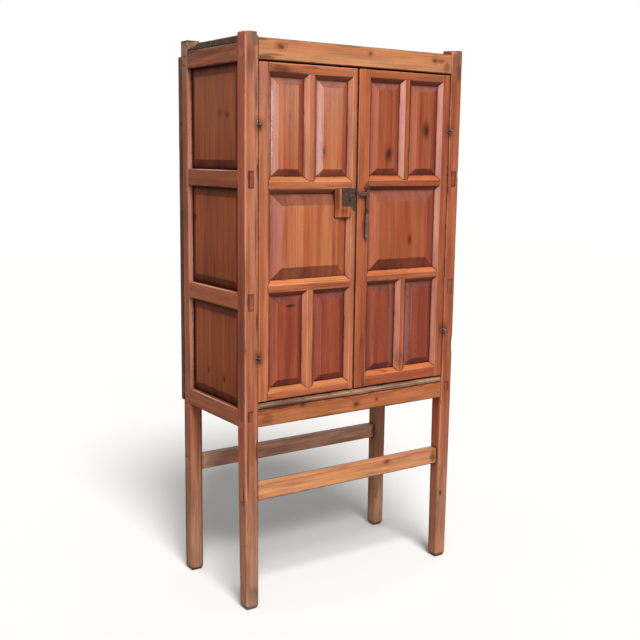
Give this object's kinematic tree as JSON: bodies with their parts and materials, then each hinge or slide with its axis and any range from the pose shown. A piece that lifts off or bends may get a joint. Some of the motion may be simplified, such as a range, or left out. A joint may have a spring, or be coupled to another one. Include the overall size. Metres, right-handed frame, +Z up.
{
  "type": "cupboard on legs",
  "caption": "Tall pine cupboard raised on its long corner posts, with framed and panelled doors on forged link hinges, a lock and a hasp.",
  "frame": {"origin": "on the floor, in the middle of the four posts", "axes": "+X to the cabinet's right as seen from the front, +Y to its back, +Z up"},
  "size_m": [0.886, 0.4746, 1.885],
  "materials": {
    "post_pine": "old waxed pine, pinkish brown, worn",
    "framing_pine": "old waxed pine, orange brown",
    "panel_pine": "old waxed pine, red brown",
    "weathered_pine": "dark dirty unfinished pine",
    "forged_iron": "hand-forged iron, dark with worn edges"
  },
  "bodies": {
    "carcass": {"back_boards": "weathered_pine", "floor_boards": "weathered_pine", "front_bottom_rail": "framing_pine", "front_left_post": "post_pine", "front_right_post": "post_pine", "front_stretcher": "post_pine", "front_top_rail": "framing_pine", "left_side_bottom_panel": "panel_pine", "left_side_bottom_rail": "framing_pine", "left_side_lower_rail": "framing_pine", "left_side_middle_panel": "panel_pine", "left_side_top_panel": "panel_pine", "left_side_top_rail": "framing_pine", "left_side_upper_rail": "framing_pine", "lower_shelf": "weathered_pine", "post_hinge_eyes": "forged_iron", "rear_bottom_rail": "weathered_pine", "rear_left_post": "post_pine", "rear_right_post": "post_pine", "rear_stretcher": "weathered_pine", "rear_top_rail": "weathered_pine", "right_side_bottom_panel": "panel_pine", "right_side_bottom_rail": "framing_pine", "right_side_lower_rail": "framing_pine", "right_side_middle_panel": "panel_pine", "right_side_top_panel": "panel_pine", "right_side_top_rail": "framing_pine", "right_side_upper_rail": "framing_pine", "shelf_cleats": "weathered_pine", "top_boards": "weathered_pine", "upper_shelf": "weathered_pine"},
    "left_door": {"left_door_bottom_rail": "framing_pine", "left_door_hinge_eyes": "forged_iron", "left_door_left_stile": "framing_pine", "left_door_lower_panels": "panel_pine", "left_door_lower_rail": "framing_pine", "left_door_middle_panel": "panel_pine", "left_door_muntins": "framing_pine", "left_door_right_stile": "framing_pine", "left_door_top_rail": "framing_pine", "left_door_upper_panels": "panel_pine", "left_door_upper_rail": "framing_pine", "lock_block": "framing_pine", "lock_plate": "forged_iron"},
    "right_door": {"hasp_staple": "forged_iron", "right_door_bottom_rail": "framing_pine", "right_door_hinge_eyes": "forged_iron", "right_door_left_stile": "framing_pine", "right_door_lower_panels": "panel_pine", "right_door_lower_rail": "framing_pine", "right_door_middle_panel": "panel_pine", "right_door_muntins": "framing_pine", "right_door_right_stile": "framing_pine", "right_door_top_rail": "framing_pine", "right_door_upper_panels": "panel_pine", "right_door_upper_rail": "framing_pine"},
    "hasp": {"hasp": "forged_iron"},
    "drop_handle": {"drop_handle": "forged_iron"},
    "lock_bolt": {"lock_bolt": "forged_iron"}
  },
  "joints": [
    {"name": "left_door_hinge", "type": "hinge", "parent": "carcass", "child": "left_door", "pos_m": [-0.393, -0.2275, 1.232], "axis": [0, 0, -1], "range_deg": [0, 170]},
    {"name": "right_door_hinge", "type": "hinge", "parent": "carcass", "child": "right_door", "pos_m": [0.393, -0.2275, 1.244], "axis": [0, 0, 1], "range_deg": [0, 170]},
    {"name": "hasp_pivot", "type": "hinge", "parent": "right_door", "child": "hasp", "pos_m": [0.031, -0.226, 1.404], "axis": [-1, 0, 0], "range_deg": [0, 110]},
    {"name": "drop_handle_pivot", "type": "hinge", "parent": "hasp", "child": "drop_handle", "pos_m": [0.027, -0.226, 1.327], "axis": [-1, 0, 0], "range_deg": [0, 60]},
    {"name": "lock_bolt_slide", "type": "slide", "parent": "left_door", "child": "lock_bolt", "axis": [1, 0, 0], "range_m": [0, 0.01]}
  ]
}
